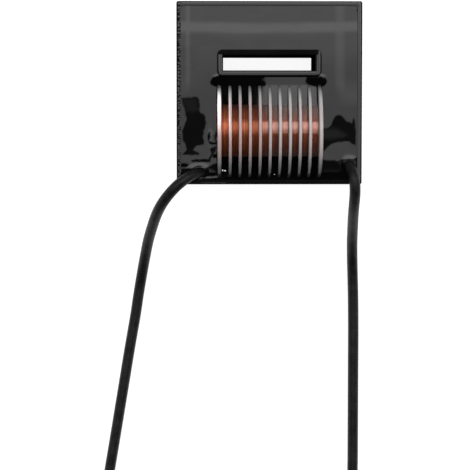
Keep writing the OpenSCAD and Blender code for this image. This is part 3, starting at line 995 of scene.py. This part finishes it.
# %% Resin: heights
# The outline of a patch near the left lead that lies flat where all round it falls away
STREAK = [(-20.3, -23.6), (-18.8, -23.0), (-17.4, -22.6), (-15.0, -22.5), (-13.8, -22.1),
          (-11.4, -21.7), (-11.1, -22.6), (-12.9, -23.4), (-14.7, -23.3), (-17.9, -23.6),
          (-19.8, -23.8)]
FAR_FOOT, FAR_BEND, FAR_CLIMB = 4.85, 1.8, 3.1      # where the climbs start, and how high
NEAR_FOOT, NEAR_FALL, NEAR_CLIMB = -22.7, -21.6, 3.4
LEAD_CLIMB, LEAD_REACH = 0.3, 0.5
LEAD_START = 60


def lead_climb(x, y):
    """The climb up both leads."""
    z = np.zeros_like(x)
    for line in lead_lines.values():
        near = np.full_like(x, FAR_OFF)
        for point in line[:LEAD_START]:
            px, py, pz = point / MM
            away = np.sqrt((x - px) ** 2 + (y - py) ** 2 + (RESIN_TOP + 0.2 - pz) ** 2)
            near = np.minimum(near, away - LEAD_D / 2 / MM)
        z += LEAD_CLIMB * np.exp(-np.clip(near, 0, None) / LEAD_REACH)
    return z


def heights(x, y):
    """The resin's height at every grid point, in millimetres."""
    z = RESIN_TOP + lead_climb(x, y)
    z += 0.02 * wobble(x, y, 9.0, 5)
    # a shallow crown that steps down towards the far wall and both sides
    far = smooth(y, -4.0, 4.0)
    band = 5.5 + 0.5 * np.cos(x / 16) + 0.3 * wobble(x, y, 12.0, 31)
    z += step_in(WALL_Y - y, band, 2.1, 0.115)
    z += far * step_in(WALL_X - x, 4.9, 2.4, 0.08) + far * step_in(WALL_X + x, 1.9, 1.1, 0.035)
    # a rise to the far side of the bobbin, which stops inside its end flanges
    inside = 1 - smooth(np.abs(x), BOBBIN_HALF - 1.1, BOBBIN_HALF - 0.1)
    channel = 1 - smooth(np.abs(x), BOBBIN_HALF - 0.2, BOBBIN_HALF + 1.2)
    blend = smooth(y, 2.0, 2.6)
    along = inside * (1 - blend) + channel * blend
    climb = rise_past(FAR_FOOT - y, 0.27, 0.07) + rise_past(FAR_BEND - y, 0.18, 0.3)
    z += along * (y > AXIS_Y) * np.minimum(climb, FAR_CLIMB)
    # a steep climb on the near side of the windings, and a fall to the near wall
    near_side = inside * smooth(-y, 12.0, 13.0)
    z += near_side * np.minimum(rise_past(y - NEAR_FOOT, 0.58, 0.1), NEAR_CLIMB)
    fall = rise_past(NEAR_FALL - y + 0.15 * wobble(x, y, 1.5, 6), 0.18, 0.15)
    z -= fall * (1 - inside_mask(x, y, STREAK, 0.25))
    # a shallow sag beside the left flange, and a low wave beside the right one
    left = smooth(-x, BOBBIN_HALF + 0.5, BOBBIN_HALF + 3)
    z -= left * 0.04 * smooth(-y, 0, 9)
    right = smooth(x, BOBBIN_HALF - 1.1, BOBBIN_HALF - 0.1)
    z += right * 0.03 * np.sin(np.clip(-y - 5, 0, 18) / 18 * math.pi)
    # a hump over a buried joint
    z += dome(x, y, (-15.4, -11.8), (0.9, 1.6), 0.06)
    return z


grid_x, grid_y = np.meshgrid(np.array(xs), np.array(ys), indexing="ij")
grid_z = heights(grid_x, grid_y)
print("resin heights", round(float(grid_z.min()), 2), "to", round(float(grid_z.max()), 2))

# %% [markdown]
# Some of the resin dried dull: a tall patch beside the left flange, a ragged one beside the
# right flange, two marks at the ends of the sleeve and the whole strip along the near wall. Each
# patch has the share of gloss that it keeps, how ragged and how soft its edge is, and a closed
# outline, in millimetres. Later ones lie over earlier ones, which puts bright streaks back into
# the near strip.

# %% Resin: dull patches
PATCHES = [
    ("left patch", 0.05, 0.3, 0.14,
     [(-23.8, -1.4), (-21.8, -1.3), (-19.6, -1.0), (-18.9, -2.2), (-18.7, -5.2), (-17.7, -5.6),
      (-17.1, -7.3), (-17.5, -10.0), (-17.9, -11.9), (-17.7, -13.8), (-19.8, -14.3),
      (-20.4, -15.3), (-18.7, -16.4), (-21.4, -16.8), (-23.4, -16.4), (-22.4, -15.4),
      (-22.7, -13.9), (-23.4, -12.2), (-23.3, -9.5), (-22.5, -7.7), (-22.6, -5.2), (-23.1, -3.6)]),
    ("left patch, top", 0.16, 0.3, 0.8,
     [(-23.5, -1.6), (-21.6, -1.5), (-19.9, -1.3), (-19.3, -2.7), (-19.3, -4.6), (-21.9, -5.0),
      (-22.8, -3.4)]),
    ("right patch", 0.05, 0.25, 0.14,
     [(14.2, -9.2), (15.4, -9.4), (16.3, -8.9), (17.0, -7.8), (17.7, -6.6), (18.6, -5.9),
      (20.0, -6.4), (20.9, -7.5), (21.7, -7.9), (22.3, -8.1), (22.6, -7.0), (23.0, -7.0),
      (23.3, -9.0), (23.4, -11.7), (23.5, -13.8), (23.0, -14.0), (21.5, -13.1), (19.5, -13.1),
      (17.7, -13.5), (16.4, -14.0), (15.2, -15.1), (14.2, -15.8)]),
    ("right patch, low side", 0.24, 0.4, 0.9,
     [(14.4, -10.0), (15.8, -9.6), (17.7, -9.6), (19.5, -10.4), (20.7, -11.2), (19.3, -12.0),
      (16.6, -12.3), (14.4, -12.4)]),
    ("near strip, right", 0.03, 0.25, 0.14,
     [(13.1, -16.7), (14.2, -17.4), (15.0, -18.1), (16.8, -18.2), (18.8, -18.2), (19.6, -17.9),
      (22.0, -17.9), (23.3, -17.4), (24.4, -17.1), (25.5, -18.1), (25.5, -26.2), (13.1, -26.2)]),
    ("near strip, middle", 0.02, 0.0, 0.14,
     [(-14.0, -17.0), (13.6, -17.0), (13.6, -26.2), (-14.0, -26.2)]),
    ("near strip, left", 0.03, 0.3, 0.14,
     [(-26.2, -20.6), (-24.6, -20.6), (-22.2, -20.1), (-19.1, -20.3), (-16.8, -20.0),
      (-15.2, -19.2), (-13.6, -18.9), (-13.6, -26.2), (-26.2, -26.2)]),
    ("streak 1", 0.0, 0.2, 0.14,
     [(-21.1, -18.1), (-18.7, -17.8), (-16.0, -17.9), (-15.8, -18.5), (-18.3, -18.6),
      (-20.6, -18.6)]),
    ("streak 2", 0.0, 0.2, 0.14,
     [(-24.6, -18.8), (-22.7, -18.9), (-21.6, -19.4), (-22.5, -20.0), (-24.6, -20.0)]),
    ("bright streak", 0.75, 0.25, 0.2, STREAK),
    ("bright streak, low", 0.5, 0.3, 0.15,
     [(-18.7, -24.2), (-17.1, -23.9), (-13.6, -24.1), (-12.5, -24.3), (-14.9, -24.5),
      (-17.9, -24.5)]),
    ("grey beside the left lead", 0.45, 0.4, 0.3,
     [(-17.3, -21.2), (-16.3, -20.6), (-14.9, -20.9), (-14.4, -21.6), (-16.0, -21.9),
      (-17.1, -21.8)]),
    ("faint streak", 0.10, 0.3, 0.5,
     [(14.2, -21.0), (16.3, -20.6), (19.0, -20.8), (18.5, -21.6), (15.0, -22.0)]),
    ("root of the right lead", 0.25, 0.3, 0.7,
     [(18.7, -18.4), (22.0, -18.2), (23.8, -18.6), (24.9, -19.8), (24.6, -22.4), (20.9, -22.4),
      (20.1, -20.2)]),
    ("left ear", 0.0, 0.2, 0.14,
     [(-16.0, 3.0), (-15.4, 4.0), (-14.4, 4.5), (-13.0, 4.7), (-13.0, 1.7), (-14.6, 1.7),
      (-15.7, 2.2)]),
    ("left channel", 0.0, 0.15, 0.14,
     [(-13.8, 4.6), (-7.9, 4.6), (-2.0, 4.5), (-1.3, 4.1), (-2.1, 3.6), (-1.0, 3.0), (-1.0, 1.8),
      (-13.8, 1.8)]),
    ("right ear", 0.0, 0.2, 0.14,
     [(9.7, 3.6), (10.4, 4.4), (12.3, 4.4), (14.2, 4.4), (15.5, 3.4), (15.2, 2.4), (13.6, 1.7),
      (11.5, 1.8), (10.1, 2.5)]),
    ("joint's outline", 0.0, 0.15, 0.14,
     [(-16.5, -13.2), (-16.7, -11.9), (-16.3, -10.5), (-15.7, -10.4), (-16.1, -11.4),
      (-16.1, -12.8), (-15.2, -13.3), (-14.2, -13.2), (-14.2, -13.9), (-16.0, -13.9)]),
    ("spot 1", 0.0, 0.2, 0.14,
     [(-16.1, -15.1), (-15.0, -14.5), (-14.4, -15.3), (-15.0, -16.2), (-15.8, -15.8)]),
    ("spot 2", 0.0, 0.2, 0.14, [(-15.3, -16.6), (-14.2, -16.3), (-14.2, -17.5), (-15.2, -17.5)]),
    ("far right mark", 0.0, 0.2, 0.14,
     [(23.5, 22.6), (24.0, 22.4), (24.3, 21.5), (24.3, 20.7), (23.8, 21.5)]),
]
print(len(PATCHES), "patches")

# %% Resin: gloss
RAGGED_SCALE = 1.1
GLOSS_DRIFT = 0.05
ragged_x = wobble(grid_x, grid_y, RAGGED_SCALE, 21)
ragged_y = wobble(grid_x, grid_y, RAGGED_SCALE, 22)
grid_gloss = 1 + GLOSS_DRIFT * wobble(grid_x, grid_y, 1.4, 23, 3.0) - GLOSS_DRIFT
for name, kept, ragged, soft, outline in PATCHES:
    mask = inside_mask(grid_x + ragged * ragged_x, grid_y + ragged * ragged_y, outline, soft)
    grid_gloss = grid_gloss * (1 - mask) + kept * mask
print("mean gloss", round(float(grid_gloss.mean()), 2))


# %% Resin: mesh
def in_hole(x, y):
    """Whether a place lies in the hole that the sleeve fills."""
    return abs(x) < HOLE_HALF[0] and abs(y - SLEEVE_Y) < HOLE_HALF[1]


def resin_mesh(bottom):
    """A closed block: the height grid on top, the same grid flat below, and walls between."""
    bm = bmesh.new()
    gloss_layer = bm.verts.layers.float.new("gloss")
    top = {}
    low = {}

    def corner(store, i, j, z):
        """The point at a grid place, made once, with its gloss."""
        if (i, j) not in store:
            store[i, j] = bm.verts.new((xs[i] * MM, ys[j] * MM, z))
            store[i, j][gloss_layer] = float(grid_gloss[i, j])
        return store[i, j]

    for i in range(len(xs) - 1):
        for j in range(len(ys) - 1):
            if in_hole((xs[i] + xs[i + 1]) / 2, (ys[j] + ys[j + 1]) / 2):
                continue
            cell = ((i, j), (i + 1, j), (i + 1, j + 1), (i, j + 1))
            bm.faces.new([corner(top, *c, grid_z[c] * MM) for c in cell])
            bm.faces.new([corner(low, *c, bottom) for c in reversed(cell)])
    place = {vert: key for key, vert in top.items()}
    rim = [edge for edge in bm.edges if edge.is_boundary and edge.verts[0] in place]
    for edge in rim:
        loop = edge.link_loops[0]
        a, b = place[loop.vert], place[loop.link_loop_next.vert]
        bm.faces.new([top[b], top[a], low[a], low[b]])
    return mesh_from(bm, "resin_pool", sharp=75)


resin_bottom = Vector(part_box("potting_resin")[0]).z
resin_pool = placed("resin_pool", resin_mesh(resin_bottom))
dress(resin_pool, resin_finish)
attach(resin_pool, "root")
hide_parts("potting_resin")
print("resin", len(resin_pool.data.polygons), "faces")

# %% [markdown]
# Fine stranded wire shows at each lead's bare end, and a twisted pair lies half sunk in the
# resin beside the bobbin. Strands that wind round each other follow a rule, so one Geometry
# Nodes tree makes them: a spiral for one strand, and copies of it turned round the middle.

# %% Strands: the tree
SPIRAL_STEPS, SECTION_STEPS = 24, 8

strands, given = new_group(
    "GeometryNodeTree", "twisted_strands",
    [("Geometry", GEOMETRY), ("Length", FLOAT, 6 * MM), ("Strands", INT, 6), ("Turns", FLOAT, 1.0),
     ("Strand radius", FLOAT, 0.16 * MM), ("Lay radius", FLOAT, 0.3 * MM), ("Finish", MATERIAL)],
    [("Geometry", GEOMETRY)])
spiral = node_in(strands, "GeometryNodeCurveSpiral",
                 {"Resolution": SPIRAL_STEPS, "Rotations": given["Turns"], "Height": given["Length"],
                  "Start Radius": given["Lay radius"], "End Radius": given["Lay radius"]})
section = node_in(strands, "GeometryNodeCurvePrimitiveCircle",
                  {"Resolution": SECTION_STEPS, "Radius": given["Strand radius"]})
strand = node_in(strands, "GeometryNodeCurveToMesh",
                 {"Curve": spiral.outputs[0], "Profile Curve": section.outputs[0],
                  "Fill Caps": True})
points = node_in(strands, "GeometryNodePoints", {"Count": given["Strands"]})
number = node_in(strands, "GeometryNodeInputIndex").outputs[0]
share = math_node(strands, "DIVIDE", number, given["Strands"])
spin = node_in(strands, "ShaderNodeCombineXYZ", {2: product(strands, share, 2 * math.pi)})
copied = node_in(strands, "GeometryNodeInstanceOnPoints",
                 {"Points": points.outputs[0], "Instance": strand.outputs[0],
                  "Rotation": spin.outputs[0]})
end_tree(strands, copied.outputs[0], given["Finish"])


# %% Strands: place them
PAIR_START, PAIR_END = Vector((-14.5, -14.4, 18.55)) * MM, Vector((-16.3, -18.2, 18.75)) * MM
TIP_SUNK = 0.5 * MM
TIP_SHORT = 0.1 * MM


def lay_strands(name, start, end, finish, values):
    """Twisted strands from start to end, as a plain mesh in its place."""
    values = {"Length": (end - start).length, "Finish": finish, **values}
    piece = grow(name, bpy.data.meshes.new(name + "_base"), strands, values)
    turned = (end - start).to_track_quat("Z", "Y").to_matrix().to_4x4()
    piece.data.transform(Matrix.Translation(start) @ turned)
    piece.data.shade_smooth()
    dress(piece, finish)
    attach(piece, "root")
    return piece


for name, points in routes.items():
    ahead = (points[-1] - points[-2]).normalized()
    tip = lay_strands(name + "_strands", points[-1] - ahead * TIP_SUNK,
                      points[-1] + ahead * (TIP_L - TIP_SHORT), strand_finish,
                      {"Strands": 6, "Turns": 1.4})
    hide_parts(name + "_tip")
pair = lay_strands("twisted_pair", PAIR_START, PAIR_END, lead_finish,
                   {"Strands": 2, "Turns": 4.0, "Strand radius": 0.17 * MM,
                    "Lay radius": 0.16 * MM})

# %% [markdown]
# Three drops of solder shine out of the resin at the bobbin's near side. A drop is a small
# sphere pulled a little out of round, so each one catches the soft box in its own way.

# %% Solder drops
DROPS = [((-12.65, -20.85, 19.75), (0.38, 0.28, 0.11)),
         ((-11.95, -20.95, 19.7), (0.38, 0.28, 0.11)),
         ((1.4, -21.95, 19.0), (0.24, 0.18, 0.10))]
SWELL = 0.05
SWELL_SCALE = 1.7

bm = bmesh.new()
for place, radii in DROPS:
    for vert in bmesh.ops.create_icosphere(bm, subdivisions=3, radius=1.0)["verts"]:
        swell = 1 + SWELL * noise.noise(vert.co * SWELL_SCALE + Vector(place))
        vert.co = Vector([(p + c * r * swell) * MM for p, c, r in zip(place, vert.co, radii)])
drops = placed("solder_drops", mesh_from(bm, "solder_drops"))
dress(drops, solder_finish)
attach(drops, "root")
print("solder drops", len(drops.data.polygons), "faces")

# %% [markdown]
# Each lead joins the tray's body, and the solid that it stands in for is hidden.

for name, lead in leads.items():
    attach(lead, "root")
    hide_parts(name)
print("cords", list(leads))

# %% [markdown]
# Colours are shown as they are written, with the Standard view. The solids' box and the finished
# pieces' box are printed side by side.

# %% View and sizes
bpy.context.scene.view_settings.view_transform = "Standard"
size = {"cad": cad_box, "visual": plain(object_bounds())}
print("sizes", size)
